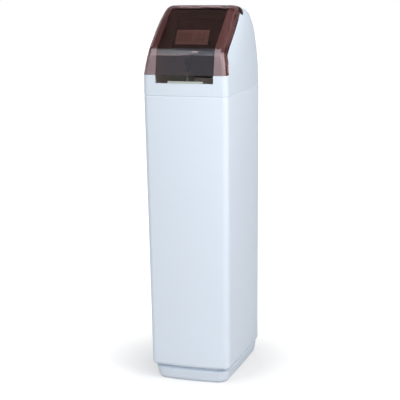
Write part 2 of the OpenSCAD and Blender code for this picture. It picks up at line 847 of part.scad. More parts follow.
module neck_seal() {
    color([0.05, 0.05, 0.05])
        translate([0, vessel_y, neck_z])
            difference() {
                cylinder(r = neck_r - seal_edge, h = seal_t);
                translate([0, 0, -cut]) cylinder(r = neck_bore_r + seal_t, h = seal_t + 2 * cut);
            }
}

// Ceramic plate with kidney ports
module ceramic_disc(r, ports) {
    difference() {
        cylinder(r = r, h = disc_t);
        for (i = [0:ports - 1])
            rotate(360 * i / ports)
                translate([r * 0.6, 0, -cut]) cylinder(r = r * 0.2, h = disc_t + 2 * cut);
    }
}

module fixed_disc() {
    color([0.88, 0.86, 0.8])
        translate([0, vessel_y, fixed_disc_z]) ceramic_disc(disc_r, 5);
}

module moving_disc() {
    color([0.8, 0.78, 0.72])
        translate([0, vessel_y, moving_disc_z]) ceramic_disc(disc_r - cut, 3);
}

// Spur wheel outline with slim straight teeth
module tooth_ring(teeth) {
    pitch_r = gear_module * teeth / 2;
    step = 360 / teeth;
    polygon([for (i = [0:teeth - 1]) each
        [for (p = [[-0.24, -1.25], [-0.1, 0.8], [0.1, 0.8], [0.24, -1.25]])
            let (a = step * (i + p[0]), r = pitch_r + gear_module * p[1])
            [r * cos(a), r * sin(a)]]]);
}

module drive_gear() {
    disc_top_z = moving_disc_z + disc_t;
    color([0.85, 0.83, 0.75])
        translate([0, vessel_y, 0]) {
            translate([0, 0, gear_z])
                rotate(pinion_angle)
                    linear_extrude(gear_t) tooth_ring(gear_teeth);
            translate([0, 0, disc_top_z])
                cylinder(r = shaft_r, h = gear_z + gear_t + gear_hub_h - disc_top_z);
            translate([0, 0, disc_top_z]) cylinder(r = disc_r - gear_hub_in, h = gear_hub_h);
        }
}

module motor_pinion() {
    color([0.85, 0.83, 0.75])
        translate([pinion_x, pinion_y, gear_z])
            difference() {
                rotate(pinion_angle + 180 + 180 / pinion_teeth)
                    linear_extrude(gear_t) tooth_ring(pinion_teeth);
                translate([0, 0, -cut]) cylinder(r = pinion_bore_r + fit_gap, h = gear_t + 2 * cut);
            }
}

// Small geared motor that stands over the pinion on two legs, its shaft down through it
module drive_motor() {
    motor_z = gear_z + gear_t + motor_gap;
    leg_x = motor_r + motor_leg;
    strap_half = leg_x + motor_gap;
    base_top_z = base_z + base_t;
    color([0.6, 0.61, 0.63])
        translate([pinion_x, pinion_y, 0])
            rotate(pinion_angle + 90) {
                translate([0, 0, motor_z]) cylinder(r = motor_r, h = motor_h);
                translate([-strap_half, -motor_strap_w / 2, motor_z])
                    cube([2 * strap_half, motor_strap_w, motor_strap_t]);
                for (side = [-1, 1])
                    translate([side * leg_x - motor_leg / 2, -motor_strap_w / 2, base_top_z])
                        cube([motor_leg, motor_strap_w, motor_z - base_top_z + cut]);
                translate([0, 0, gear_z - pinion_bore_r])
                    cylinder(r = pinion_bore_r, h = motor_z - gear_z + pinion_bore_r + cut);
            }
}

// Tray of the control head, seated on the disc chamber
module head_base() {
    inside = head_w / 2 - head_wall - seat_gap;
    color([0.16, 0.16, 0.17])
        difference() {
            translate([-inside, head_front_y + head_wall + seat_gap, base_z])
                cube([2 * inside, head_back_y - head_front_y - 2 * head_wall - 2 * seat_gap, base_t]);
            translate([0, vessel_y, base_z - cut])
                cylinder(r = chamber_r - chamber_wall, h = base_t + 2 * cut);
        }
}

// Side outline of the head's cover, shrunk by its wall
module head_outline(inset) {
    top_z = head_top_z - inset;
    low_y = head_front_y + inset;
    back = head_back_y - inset;
    slope_shift = inset / sin(slope_angle);
    polygon([[low_y, base_z - inset], [low_y, base_z + head_sill + (inset - slope_shift) * tan(slope_angle)],
             [head_front_y + slope_shift + (top_z - base_z - head_sill) / tan(slope_angle), top_z],
             [head_top_y, top_z], [back, head_top_z - head_top_drop - inset / 2], [back, base_z - inset]]);
}

// Place on the sloping front: x across, y up the slope and z straight out of it
module on_slope(x, y, z) {
    translate([panel_x, panel_y, panel_z])
        rotate([slope_angle, 0, 0])
            translate([x, y, z]) children();
}

module head_cover() {
    color([0.12, 0.12, 0.13])
        difference() {
            along_x(head_w) head_outline(0);
            along_x(head_w - 2 * head_wall) head_outline(head_wall);
            for (p = button_places)
                on_slope(p.x, p.y, -head_wall * 2)
                    cylinder(r = button_r + button_flange_over + seat_gap, h = head_wall * 3);
            translate([socket_x, 0, socket_z])
                along_y(head_back_y - over / 4, head_back_y + cut) circle(socket_r + seat_gap);
        }
}

module front_panel() {
    color([0.4, 0.38, 0.38])
        difference() {
            on_slope(-panel_w / 2, -panel_h / 2, 0) cube([panel_w, panel_h, panel_t]);
            on_slope(window_x - window_w / 2, -window_h / 2, panel_t - window_t)
                cube([window_w, window_h, panel_t]);
            for (p = button_places)
                on_slope(p.x, p.y, -cut) cylinder(r = button_r + fit_gap, h = panel_t + 2 * cut);
        }
}

module display_window() {
    color([0.1, 0.14, 0.14])
        on_slope(window_x - window_w / 2 + seat_gap, -window_h / 2 + seat_gap, panel_t - window_t)
            cube([window_w - 2 * seat_gap, window_h - 2 * seat_gap, window_t]);
}

// Round push button with a flange that holds it behind the panel
module button(index) {
    p = button_places[index];
    color([0.75, 0.75, 0.76])
        on_slope(p.x, p.y, 0) {
            translate([0, 0, panel_t + button_proud - button_len]) cylinder(r = button_r, h = button_len);
            translate([0, 0, -button_flange_t - button_slack])
                cylinder(r = button_r + button_flange_over, h = button_flange_t);
        }
}

module button_1() { button(0); }
module button_2() { button(1); }
module button_3() { button(2); }
module button_4() { button(3); }

module power_socket() {
    color([0.08, 0.08, 0.08])
        translate([socket_x, 0, socket_z])
            difference() {
                union() {
                    along_y(head_back_y - socket_in, head_back_y + socket_out) circle(socket_r);
                    along_y(head_back_y, head_back_y + socket_rim_t) circle(socket_r + socket_rim);
                }
                along_y(head_back_y - socket_r, head_back_y + socket_out + cut) circle(socket_bore_r);
            }
}

// Tail with a union nut over the end of a port
module connector(side) {
    color([0.14, 0.14, 0.15])
        translate([side * port_pitch / 2, 0, port_z])
            difference() {
                union() {
                    along_y(port_end_y - nut_len + nut_over, port_end_y + nut_over) circle(nut_r, $fn = 12);
                    along_y(port_end_y, tail_end_y) circle(tail_r);
                }
                along_y(port_end_y - nut_len, port_end_y) circle(port_r + seat_gap);
                along_y(port_end_y - cut, tail_end_y + cut) circle(tail_bore_r);
            }
}

module inlet_connector() { connector(-1); }
module outlet_connector() { connector(1); }

// Meter wheel: a hub with slanted vanes on the spider's pin
module flow_turbine() {
    root_r = turbine_hub_r / 2;
    color([0.2, 0.35, 0.6])
        translate([port_pitch / 2, turbine_y, port_z])
            difference() {
                union() {
                    along_y(0, turbine_len) circle(turbine_hub_r);
                    for (i = [0:turbine_vanes - 1])
                        rotate([0, 360 * i / turbine_vanes, 0])
                            translate([0, turbine_len / 2, root_r])
                                rotate([0, 0, vane_slant])
                                    translate([-vane_t / 2, -turbine_len / 2, 0])
                                        cube([vane_t, turbine_len, port_bore_r - root_r - vane_clear]);
                }
                along_y(-cut, turbine_len + cut) circle(axle_r + fit_gap);
            }
}

// Drain elbow: socket on the side port, then a ribbed tail to the back
module drain_elbow() {
    socket_start = valve_w / 2 + elbow_gap;
    elbow_x = socket_start + side_port_len + elbow_reach;
    color([0.14, 0.14, 0.15])
        difference() {
            union() {
                translate([socket_start, drain_port_y, port_z])
                    rotate([0, 90, 0])
                        cylinder(r = drain_port_r + elbow_wall, h = side_port_len + elbow_wall);
                translate([socket_start, drain_port_y, port_z])
                    rotate([0, 90, 0]) cylinder(r = barb_r, h = elbow_x - socket_start);
                translate([elbow_x, drain_port_y, port_z]) sphere(r = barb_r);
                translate([elbow_x, 0, port_z]) {
                    along_y(drain_port_y, tail_end_y) circle(drain_tail_r);
                    for (i = [0:barbs - 1])
                        translate([0, tail_end_y - barb_first - barb_pitch * i, 0])
                            rotate([-90, 0, 0]) cylinder(r1 = barb_r, r2 = drain_tail_r, h = barb_len);
                }
            }
            translate([socket_start - cut, drain_port_y, port_z])
                rotate([0, 90, 0]) cylinder(r = drain_port_r + seat_gap, h = side_port_len);
            translate([socket_start, drain_port_y, port_z])
                rotate([0, 90, 0]) cylinder(r = drain_bore_r, h = elbow_x - socket_start);
            translate([elbow_x, 0, port_z])
                along_y(drain_port_y, tail_end_y + cut) circle(drain_bore_r);
        }
}

// Brine elbow: socket on the side port, then a tail that takes the tube
module brine_elbow() {
    socket_start = valve_w / 2 + elbow_gap;
    tail_z = port_z - brine_tail;
    color([0.14, 0.14, 0.15])
        difference() {
            union() {
                translate([-socket_start, brine_port_y, port_z])
                    rotate([0, -90, 0]) cylinder(r = brine_port_r + elbow_wall, h = -well_x - socket_start);
                translate([well_x, brine_port_y, port_z]) sphere(r = brine_port_r + elbow_wall);
                translate([well_x, brine_port_y, tail_z]) cylinder(r = brine_port_r + cut, h = brine_tail);
            }
            translate([-socket_start + cut, brine_port_y, port_z])
                rotate([0, -90, 0]) cylinder(r = brine_port_r + seat_gap, h = side_port_len);
            translate([-socket_start, brine_port_y, port_z])
                rotate([0, -90, 0]) cylinder(r = brine_bore_r, h = -well_x - socket_start);
            translate([well_x, brine_port_y, tail_z - cut])
                cylinder(r = brine_tube_r + fit_gap, h = tube_depth + 2 * cut);
        }
}

// Quarter bend of the brine tube in the plane x = well_x
module tube_bend(y, z, turn) {
    translate([well_x, y, z])
        rotate([90, 0, 90])
            rotate(turn)
                rotate_extrude(angle = 90)
                    translate([bend_r, 0]) tube_section();
}

module tube_section() {
    difference() {
        circle(brine_tube_r);
        circle(brine_tube_r * tube_bore_share);
    }
}

// Tube from the valve down, across to the front and down into the brine well
module brine_tube() {
    rod_fit_z = rod_top_z - rod_seat;
    fall = brine_drop - brine_tail + tube_depth;
    color([0.85, 0.87, 0.86]) {
        translate([well_x, brine_port_y, brine_drop_z])
            linear_extrude(fall) tube_section();
        tube_bend(brine_port_y - bend_r, brine_drop_z, 270);
        translate([well_x, 0, brine_run_z])
            along_y(well_y + bend_r, brine_port_y - bend_r) tube_section();
        tube_bend(well_y + bend_r, brine_run_z - bend_r, 90);
        translate([well_x, well_y, rod_fit_z])
            linear_extrude(brine_run_z - bend_r - rod_fit_z) tube_section();
    }
}

// Upright tube with slots at its foot
module brine_well() {
    color([0.88, 0.89, 0.9])
        translate([well_x, well_y, floor_t])
            difference() {
                cylinder(r = well_r, h = well_top_z - floor_t);
                translate([0, 0, -cut]) cylinder(r = well_r - well_wall, h = well_top_z);
                for (i = [0:well_slots / 2 - 1])
                    rotate(180 * i / (well_slots / 2))
                        translate([-2 * well_r, -well_slot_w / 2, well_slot_up])
                            cube([4 * well_r, well_slot_w, well_slot_h]);
            }
}

// Cap that lifts off, slotted for the tube
module well_cap() {
    slot = brine_tube_r + cut;
    skirt_r = well_r - well_wall - seat_gap;
    color([0.2, 0.35, 0.6])
        translate([well_x, well_y, well_top_z])
            difference() {
                union() {
                    cylinder(r = well_r + cap_over, h = cap_t);
                    translate([0, 0, -cap_skirt])
                        difference() {
                            cylinder(r = skirt_r, h = cap_skirt + cut);
                            translate([0, 0, -cut]) cylinder(r = skirt_r - cap_wall, h = cap_skirt + cut);
                        }
                }
                translate([0, 0, -over / 2]) cylinder(r = slot, h = over);
                translate([0, -slot, -over / 2]) cube([2 * well_r, 2 * slot, over]);
            }
}

// Safety valve: cage at the foot, rod, two stops and a head that takes the tube
module float_valve() {
    color([0.9, 0.9, 0.88])
        translate([well_x, well_y, 0])
            difference() {
                union() {
                    translate([0, 0, floor_t]) cylinder(r = cage_r, h = cage_h);
                    translate([0, 0, floor_t]) cylinder(r = rod_r, h = rod_top_z - floor_t);
                    translate([0, 0, float_stop_z - collar_h]) cylinder(r = collar_r, h = collar_h);
                    translate([0, 0, rod_top_z - rod_head_h]) cylinder(r = rod_head_r, h = rod_head_h);
                }
                for (a = [0:45:135])
                    rotate(a)
                        translate([-2 * cage_r, -cage_slot / 2, floor_t + cage_end])
                            cube([4 * cage_r, cage_slot, cage_h - 2 * cage_end]);
                translate([0, 0, rod_top_z - rod_seat])
                    cylinder(r = brine_tube_r + fit_gap, h = rod_seat + cut);
            }
}

module float() {
    color([0.85, 0.5, 0.15])
        translate([well_x, well_y, float_stop_z + float_slack])
            difference() {
                cylinder(r = float_r, h = float_h);
                translate([0, 0, -cut]) cylinder(r = rod_r + float_slack, h = float_h + 2 * cut);
            }
}

// Elbow in the overflow pocket, turned down for a hose
module overflow_elbow() {
    wall_y = pocket_back_y;
    inner_y = wall_y - cabinet_wall;
    turn_y = wall_y + overflow_flange_t + overflow_r;
    thread_y = inner_y - overflow_nut_t - overflow_flange_t;
    bore_r = overflow_r - overflow_wall;
    flange_out_r = overflow_r + overflow_flange;
    color([0.14, 0.14, 0.15])
        translate([pocket_x, 0, overflow_z])
            difference() {
                union() {
                    along_y(wall_y, wall_y + overflow_flange_t) circle(flange_out_r);
                    along_y(thread_y, turn_y) circle(overflow_r);
                    translate([0, turn_y, 0]) sphere(r = overflow_r);
                    translate([0, turn_y, -overflow_tail]) cylinder(r = overflow_r, h = overflow_tail);
                    along_y(inner_y - overflow_nut_t, inner_y) circle(flange_out_r, $fn = 6);
                }
                along_y(thread_y - cut, turn_y) circle(bore_r);
                translate([0, turn_y, -overflow_tail - cut]) cylinder(r = bore_r, h = overflow_tail + cut);
            }
}

cabinet();
hood();
lid();
vessel();
vessel_boot();
resin_bed();
riser_tube();
bottom_strainer();
top_strainer();
valve_body();
neck_seal();
fixed_disc();
moving_disc();
drive_gear();
motor_pinion();
drive_motor();
head_base();
head_cover();
front_panel();
display_window();
button_1();
button_2();
button_3();
button_4();
power_socket();
inlet_connector();
outlet_connector();
flow_turbine();
drain_elbow();
brine_elbow();
brine_tube();
brine_well();
well_cap();
float_valve();
float();
overflow_elbow();
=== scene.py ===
# Slim cabinet water softener: white moulded cabinet and hood, smoked lid, resin vessel, valve and brine well.
# Everything is in metres in the frame of the solids: X to the right, Y to the back, Z up, front towards -Y.
import bpy
import json
import math
from mathutils import Matrix, Vector


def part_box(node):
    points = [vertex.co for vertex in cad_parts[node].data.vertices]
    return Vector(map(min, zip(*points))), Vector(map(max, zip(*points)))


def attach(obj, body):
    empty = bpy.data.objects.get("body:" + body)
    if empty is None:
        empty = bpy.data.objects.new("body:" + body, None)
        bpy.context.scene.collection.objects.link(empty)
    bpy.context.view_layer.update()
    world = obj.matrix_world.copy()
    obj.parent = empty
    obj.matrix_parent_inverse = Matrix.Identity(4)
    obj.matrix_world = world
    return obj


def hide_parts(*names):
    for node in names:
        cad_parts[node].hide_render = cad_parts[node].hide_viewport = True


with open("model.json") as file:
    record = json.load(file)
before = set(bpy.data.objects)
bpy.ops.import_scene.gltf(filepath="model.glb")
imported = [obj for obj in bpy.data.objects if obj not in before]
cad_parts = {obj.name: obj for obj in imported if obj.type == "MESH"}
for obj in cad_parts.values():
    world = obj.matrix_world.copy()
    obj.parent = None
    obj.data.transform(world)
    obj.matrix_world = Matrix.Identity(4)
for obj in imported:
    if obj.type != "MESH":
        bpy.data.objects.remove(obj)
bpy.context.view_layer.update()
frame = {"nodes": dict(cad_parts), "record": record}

# Cabinet: the salt tank, blow moulded in bluish white polyethylene with a fine satin grain.
# It stands on its own recessed plinth, and its flat rim carries the hood.
# The plinth's top is spread and its sole rounded here, to stand as it does in the photograph.
body_of = {node: body for body, nodes in frame["record"]["behaviour"]["bodies"].items() for node in nodes}


def fasten(piece, node):
    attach(piece, body_of[node])


def pick(piece):
    bpy.ops.object.select_all(action="DESELECT")
    bpy.context.view_layer.objects.active = piece
    piece.select_set(True)


def shade_by_angle(piece, angle):
    pick(piece)
    bpy.ops.object.shade_smooth_by_angle(angle=math.radians(angle))
    weighted = piece.modifiers.new("faces lead the shading", "WEIGHTED_NORMAL")
    weighted.keep_sharp = True
    bpy.ops.object.modifier_apply(modifier=weighted.name)


smooth_angle = 28
flat_angle = 0.05
weld_distance = 0.00002


def moulding(node, finish, rounding=0.0):
    piece = bpy.data.objects.new(node + "_moulding", frame["nodes"][node].data.copy())
    bpy.context.scene.collection.objects.link(piece)
    pick(piece)
    piece.data.materials.clear()
    bpy.ops.mesh.customdata_custom_splitnormals_clear()
    bpy.ops.object.mode_set(mode="EDIT")
    bpy.ops.mesh.select_all(action="SELECT")
    bpy.ops.mesh.remove_doubles(threshold=weld_distance)
    bpy.ops.mesh.dissolve_limited(angle_limit=math.radians(flat_angle))
    bpy.ops.object.mode_set(mode="OBJECT")
    if rounding:
        softened = piece.modifiers.new("rounded edges", "BEVEL")
        softened.width = rounding
        softened.segments = 2
        softened.limit_method = "ANGLE"
        softened.angle_limit = math.radians(smooth_angle)
        bpy.ops.object.modifier_apply(modifier=softened.name)
    shade_by_angle(piece, smooth_angle)
    piece.data.materials.append(finish)
    fasten(piece, node)
    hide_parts(node)
    return piece


def add_node(tree, kind, **values):
    made = tree.nodes.new("ShaderNode" + kind)
    for name, value in values.items():
        made.inputs[name.replace("_", " ")].default_value = value
    return made


def add_math(tree, operation, first, second=None, third=None):
    made = tree.nodes.new("ShaderNodeMath")
    made.operation = operation
    for socket, value in zip(made.inputs, (first, second, third)):
        if isinstance(value, bpy.types.NodeSocket):
            tree.links.new(value, socket)
        elif value is not None:
            socket.default_value = value
    return made.outputs[0]


def new_group(name, inputs, outputs):
    tree = bpy.data.node_groups.new(name, "ShaderNodeTree")
    for label, kind, value in inputs:
        tree.interface.new_socket(label, in_out="INPUT", socket_type="NodeSocket" + kind).default_value = value
    for label, kind in outputs:
        tree.interface.new_socket(label, in_out="OUTPUT", socket_type="NodeSocket" + kind)
    return tree, tree.nodes.new("NodeGroupInput").outputs, tree.nodes.new("NodeGroupOutput").inputs


def new_material(name):
    made = bpy.data.materials.new(name)
    made.use_nodes = True
    return made, made.node_tree, made.node_tree.nodes["Principled BSDF"]


def place_group(tree, group, **values):
    made = tree.nodes.new("ShaderNodeGroup")
    made.node_tree = group
    for name, value in values.items():
        made.inputs[name.replace("_", " ")].default_value = value
    return made


def bump_from(tree, height, shader, strength, distance):
    made = add_node(tree, "Bump", Strength=strength, Distance=distance)
    tree.links.new(height, made.inputs["Height"])
    tree.links.new(made.outputs["Normal"], shader.inputs["Normal"])


mould_grain, grain_in, grain_out = new_group(
    "mould grain",
    [("Color", "Color", (0.8, 0.8, 0.8, 1)), ("Grain", "Float", 900.0), ("Shade", "Float", 0.02),
     ("Rough", "Float", 0.4), ("Spread", "Float", 0.1)],
    [("Color", "Color"), ("Roughness", "Float"), ("Height", "Float")])
grain_place = add_node(mould_grain, "TexCoord")
pebble = add_node(mould_grain, "TexNoise", Detail=2.0, Roughness=0.55)
cloud = add_node(mould_grain, "TexNoise", Scale=5.0, Detail=3.0, Roughness=0.5)
smear = add_node(mould_grain, "TexNoise", Scale=38.0, Detail=4.0, Roughness=0.6)
for texture in (pebble, cloud, smear):
    mould_grain.links.new(grain_place.outputs["Object"], texture.inputs["Vector"])
mould_grain.links.new(grain_in["Grain"], pebble.inputs["Scale"])
cloud_part = add_math(mould_grain, "SUBTRACT", cloud.outputs["Fac"], 0.5)
smear_part = add_math(mould_grain, "SUBTRACT", smear.outputs["Fac"], 0.5)
tone = add_math(mould_grain, "MULTIPLY_ADD", cloud_part, grain_in["Shade"], 1.0)
shaded = add_node(mould_grain, "VectorMath")
shaded.operation = "SCALE"
mould_grain.links.new(grain_in["Color"], shaded.inputs[0])
mould_grain.links.new(tone, shaded.inputs["Scale"])
mould_grain.links.new(shaded.outputs["Vector"], grain_out["Color"])
mould_grain.links.new(add_math(mould_grain, "MULTIPLY_ADD", smear_part, grain_in["Spread"], grain_in["Rough"]),
                      grain_out["Roughness"])
mould_grain.links.new(pebble.outputs["Fac"], grain_out["Height"])

dust_colour = (0.5, 0.47, 0.42, 1)
floor_dust, dust_in, dust_out = new_group(
    "floor dust",
    [("Color", "Color", (0.8, 0.8, 0.8, 1)), ("Level", "Float", 0.12), ("Amount", "Float", 0.15)],
    [("Color", "Color")])
dust_place = add_node(floor_dust, "TexCoord")
dust_axes = add_node(floor_dust, "SeparateXYZ")
dust_cloud = add_node(floor_dust, "TexNoise", Scale=26.0, Detail=5.0, Roughness=0.65)
dust_height = add_node(floor_dust, "MapRange", From_Min=0.0, To_Min=1.0, To_Max=0.0)
dust_height.interpolation_type = "SMOOTHSTEP"
dust_mix = add_node(floor_dust, "Mix")
dust_mix.data_type = "RGBA"
dust_mix.inputs[7].default_value = dust_colour
floor_dust.links.new(dust_place.outputs["Object"], dust_axes.inputs[0])
floor_dust.links.new(dust_place.outputs["Object"], dust_cloud.inputs["Vector"])
floor_dust.links.new(dust_axes.outputs["Z"], dust_height.inputs["Value"])
floor_dust.links.new(dust_in["Level"], dust_height.inputs["From Max"])
dust_mask = add_math(floor_dust, "MULTIPLY", dust_height.outputs[0], dust_cloud.outputs["Fac"])
floor_dust.links.new(add_math(floor_dust, "MULTIPLY", dust_mask, dust_in["Amount"]), dust_mix.inputs[0])
floor_dust.links.new(dust_in["Color"], dust_mix.inputs[6])
floor_dust.links.new(dust_mix.outputs[2], dust_out["Color"])


def plastic(name, colour, rough, grain=900.0, shade=0.02, spread=0.1, bump=0.12, depth=0.0002, dust=0.0):
    made, tree, shader = new_material(name)
    skin = place_group(tree, mould_grain, Color=(*colour, 1), Grain=grain, Shade=shade, Rough=rough, Spread=spread)
    colour_out = skin.outputs["Color"]
    if dust:
        settled = place_group(tree, floor_dust, Amount=dust)
        tree.links.new(colour_out, settled.inputs["Color"])
        colour_out = settled.outputs["Color"]
    tree.links.new(colour_out, shader.inputs["Base Color"])
    tree.links.new(skin.outputs["Roughness"], shader.inputs["Roughness"])
    bump_from(tree, skin.outputs["Height"], shader, bump, depth)
    return made


def open_mesh(piece, select_mode):
    if bpy.context.mode != "OBJECT":
        bpy.ops.object.mode_set(mode="OBJECT")
    pick(piece)
    bpy.context.tool_settings.mesh_select_mode = select_mode
    bpy.ops.object.mode_set(mode="EDIT")
    bpy.ops.mesh.select_all(action="DESELECT")
    bpy.ops.object.mode_set(mode="OBJECT")


def select_points(piece, wanted):
    open_mesh(piece, (True, False, False))
    for point in piece.data.vertices:
        point.select = wanted(point.co)
    bpy.ops.object.mode_set(mode="EDIT")


cabinet = moulding("cabinet", plastic("satin white cabinet", (0.71, 0.785, 0.875), 0.36, dust=0.12))
plinth_top = 0.0385
plinth_spread = 1.03
plinth_waist = 0.02
plinth_lean = (1.046, 1.03, 1.0)
sole_low, sole_high = 0.001, 0.005
sole_draw = (0.972, 0.982, 1.0)
sole_rise = 0.004
select_points(cabinet, lambda spot: spot.z < plinth_top)
bpy.ops.transform.resize(value=(plinth_spread, plinth_spread, 1.0), center_override=(0.0, 0.0, 0.0))
select_points(cabinet, lambda spot: plinth_waist < spot.z < plinth_top)
bpy.ops.transform.resize(value=plinth_lean, center_override=(0.0, 0.0, 0.0))
select_points(cabinet, lambda spot: spot.z < sole_low)
bpy.ops.transform.resize(value=sole_draw, center_override=(0.0, 0.0, 0.0))
select_points(cabinet, lambda spot: sole_low < spot.z < sole_high)
bpy.ops.transform.translate(value=(0.0, 0.0, sole_rise))
bpy.ops.mesh.bevel(offset=sole_rise, segments=3, affect="EDGES")
bpy.ops.object.mode_set(mode="OBJECT")
shade_by_angle(cabinet, smooth_angle)


# Vessel and boot: a polyethylene liner wound with resin bonded fibre, stood in a dished black foot.
# The amber beads, the riser and its two strainers are shut inside it.
def dress(node, finish):
    frame["nodes"][node].data.materials.clear()
    frame["nodes"][node].data.materials.append(finish)


black_plastic = plastic("black fitting plastic", (0.035, 0.035, 0.038), 0.45, grain=1400.0, shade=0.15, bump=0.2)
white_plastic = plastic("white fitting plastic", (0.74, 0.74, 0.70), 0.42, grain=1200.0, shade=0.04)
moulding("vessel_boot", black_plastic, rounding=0.0008)

wound, wound_tree, wound_shader = new_material("wound fibre")
winding_turns = 46.0
winding_rise = 900.0
vessel_low, vessel_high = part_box("vessel")
wound_place = add_node(wound_tree, "TexCoord")
wound_axes = add_node(wound_tree, "SeparateXYZ")
wound_fibres = add_node(wound_tree, "TexNoise", Scale=240.0, Detail=3.0, Roughness=0.6)
wound_colour = add_node(wound_tree, "ValToRGB")
wound_colour.color_ramp.elements[0].color = (0.50, 0.58, 0.52, 1)
wound_colour.color_ramp.elements[1].color = (0.70, 0.77, 0.71, 1)
wound_tree.links.new(wound_place.outputs["Object"], wound_axes.inputs[0])
wound_tree.links.new(wound_place.outputs["Object"], wound_fibres.inputs["Vector"])
round_y = add_math(wound_tree, "SUBTRACT", wound_axes.outputs["Y"], (vessel_low.y + vessel_high.y) / 2)
round_angle = add_math(wound_tree, "ARCTAN2", round_y, wound_axes.outputs["X"])
climb = add_math(wound_tree, "MULTIPLY", wound_axes.outputs["Z"], winding_rise)
bands = []
for turns in (winding_turns, -winding_turns):
    slant = add_math(wound_tree, "MULTIPLY_ADD", round_angle, turns, climb)
    bands.append(add_math(wound_tree, "MULTIPLY_ADD", add_math(wound_tree, "SINE", slant), 0.25, 0.5))
crossing = add_math(wound_tree, "MAXIMUM", *bands)
frayed = add_math(wound_tree, "MULTIPLY_ADD", wound_fibres.outputs["Fac"], 0.4, crossing)
wound_height = add_math(wound_tree, "SUBTRACT", frayed, 0.2)
wound_tree.links.new(wound_height, wound_colour.inputs["Fac"])
wound_tree.links.new(wound_colour.outputs["Color"], wound_shader.inputs["Base Color"])
wound_shader.inputs["Roughness"].default_value = 0.45
bump_from(wound_tree, wound_height, wound_shader, 0.3, 0.0006)
moulding("vessel", wound)

for node in ("riser_tube", "bottom_strainer", "top_strainer"):
    dress(node, white_plastic)
dress("resin_bed", plastic("amber resin beads", (0.42, 0.24, 0.06), 0.3, grain=1500.0, shade=0.3, bump=0.9,
                           depth=0.0006))

# Valve: a glass filled black body, screwed on the vessel's neck over a ring seal.
# Two lapped ceramic discs inside it switch the ports, and a blue wheel in the outlet meters the flow.
moulding("valve_body", black_plastic, rounding=0.0012)
dress("neck_seal", plastic("seal rubber", (0.012, 0.012, 0.012), 0.7, grain=2000.0, shade=0.1))
ceramic = plastic("lapped ceramic", (0.76, 0.74, 0.68), 0.18, grain=2500.0, shade=0.03, bump=0.03)
dress("fixed_disc", ceramic)
dress("moving_disc", ceramic)
dress("drive_gear", white_plastic)
dress("motor_pinion", white_plastic)
dress("flow_turbine", plastic("blue turbine plastic", (0.06, 0.15, 0.40), 0.4, grain=2000.0))

# Control head: a tray, a dark cover over the gear drive and a lighter plate on its sloping front.
# The plate holds a display window and four push buttons, and four small screws hold the cover to the tray.
head_plastic = plastic("dark head plastic", (0.02, 0.018, 0.017), 0.6, grain=1300.0, shade=0.12, bump=0.2)
moulding("head_base", head_plastic, rounding=0.0005)
moulding("head_cover", head_plastic, rounding=0.0016)
moulding("drive_motor", plastic("motor case", (0.42, 0.43, 0.45), 0.35, grain=700.0), rounding=0.0008)
moulding("front_panel", plastic("panel plastic", (0.60, 0.69, 0.67), 0.45, grain=1600.0, shade=0.05), rounding=0.0008)
moulding("display_window", plastic("display window", (0.50, 0.57, 0.55), 0.12, grain=300.0, bump=0.02),
         rounding=0.0003)
button_plastic = plastic("button plastic", (0.48, 0.55, 0.55), 0.4, grain=1600.0)
for node in ("button_1", "button_2", "button_3", "button_4"):
    moulding(node, button_plastic, rounding=0.0007)
moulding("power_socket", black_plastic, rounding=0.0004)


def select_faces(piece, wanted):
    open_mesh(piece, (False, False, True))
    for face in piece.data.polygons:
        face.select = wanted(face.center, face.normal)
    bpy.ops.object.mode_set(mode="EDIT")


screw_steel, steel_tree, steel_shader = new_material("zinc plated steel")
steel_skin = place_group(steel_tree, mould_grain, Color=(0.62, 0.61, 0.58, 1), Grain=2600.0, Shade=0.12, Rough=0.3,
                         Spread=0.2)
steel_tree.links.new(steel_skin.outputs["Color"], steel_shader.inputs["Base Color"])
steel_tree.links.new(steel_skin.outputs["Roughness"], steel_shader.inputs["Roughness"])
steel_shader.inputs["Metallic"].default_value = 1.0
bump_from(steel_tree, steel_skin.outputs["Height"], steel_shader, 0.1, 0.0001)


def pan_screw(name, spot, outward, radius=0.0028, height=0.0018):
    bpy.ops.object.select_all(action="DESELECT")
    bpy.ops.mesh.primitive_cylinder_add(vertices=24, radius=radius, depth=2 * height)
    screw = bpy.context.active_object
    screw.name = name
    select_faces(screw, lambda centre, normal: normal.z > 0.9)
    bpy.ops.mesh.bevel(offset=0.45 * height, segments=3, affect="EDGES")
    select_faces(screw, lambda centre, normal: normal.z > 0.99 and centre.z > 0.9 * height)
    bpy.ops.mesh.inset(thickness=0.45 * radius)
    bpy.ops.mesh.inset(thickness=0.1 * radius, depth=-0.5 * height)
    bpy.ops.object.mode_set(mode="OBJECT")
    screw.rotation_euler = Vector(outward).to_track_quat("Z", "Y").to_euler()
    screw.location = spot
    bpy.ops.object.transform_apply(location=True, rotation=True, scale=True)
    shade_by_angle(screw, 40)
    screw.data.materials.append(screw_steel)
    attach(screw, "unit")
    return screw


cover_low, cover_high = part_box("head_cover")
screw_rise = 0.0034
screw_from_end = 0.03
for side, wall_x in ((-1, cover_low.x), (1, cover_high.x)):
    for end, screw_y in (("front", cover_low.y + screw_from_end), ("back", cover_high.y - screw_from_end)):
        pan_screw(f"cover_screw_{'left' if side < 0 else 'right'}_{end}",
                  (wall_x, screw_y, cover_low.z + screw_rise), (side, 0, 0))


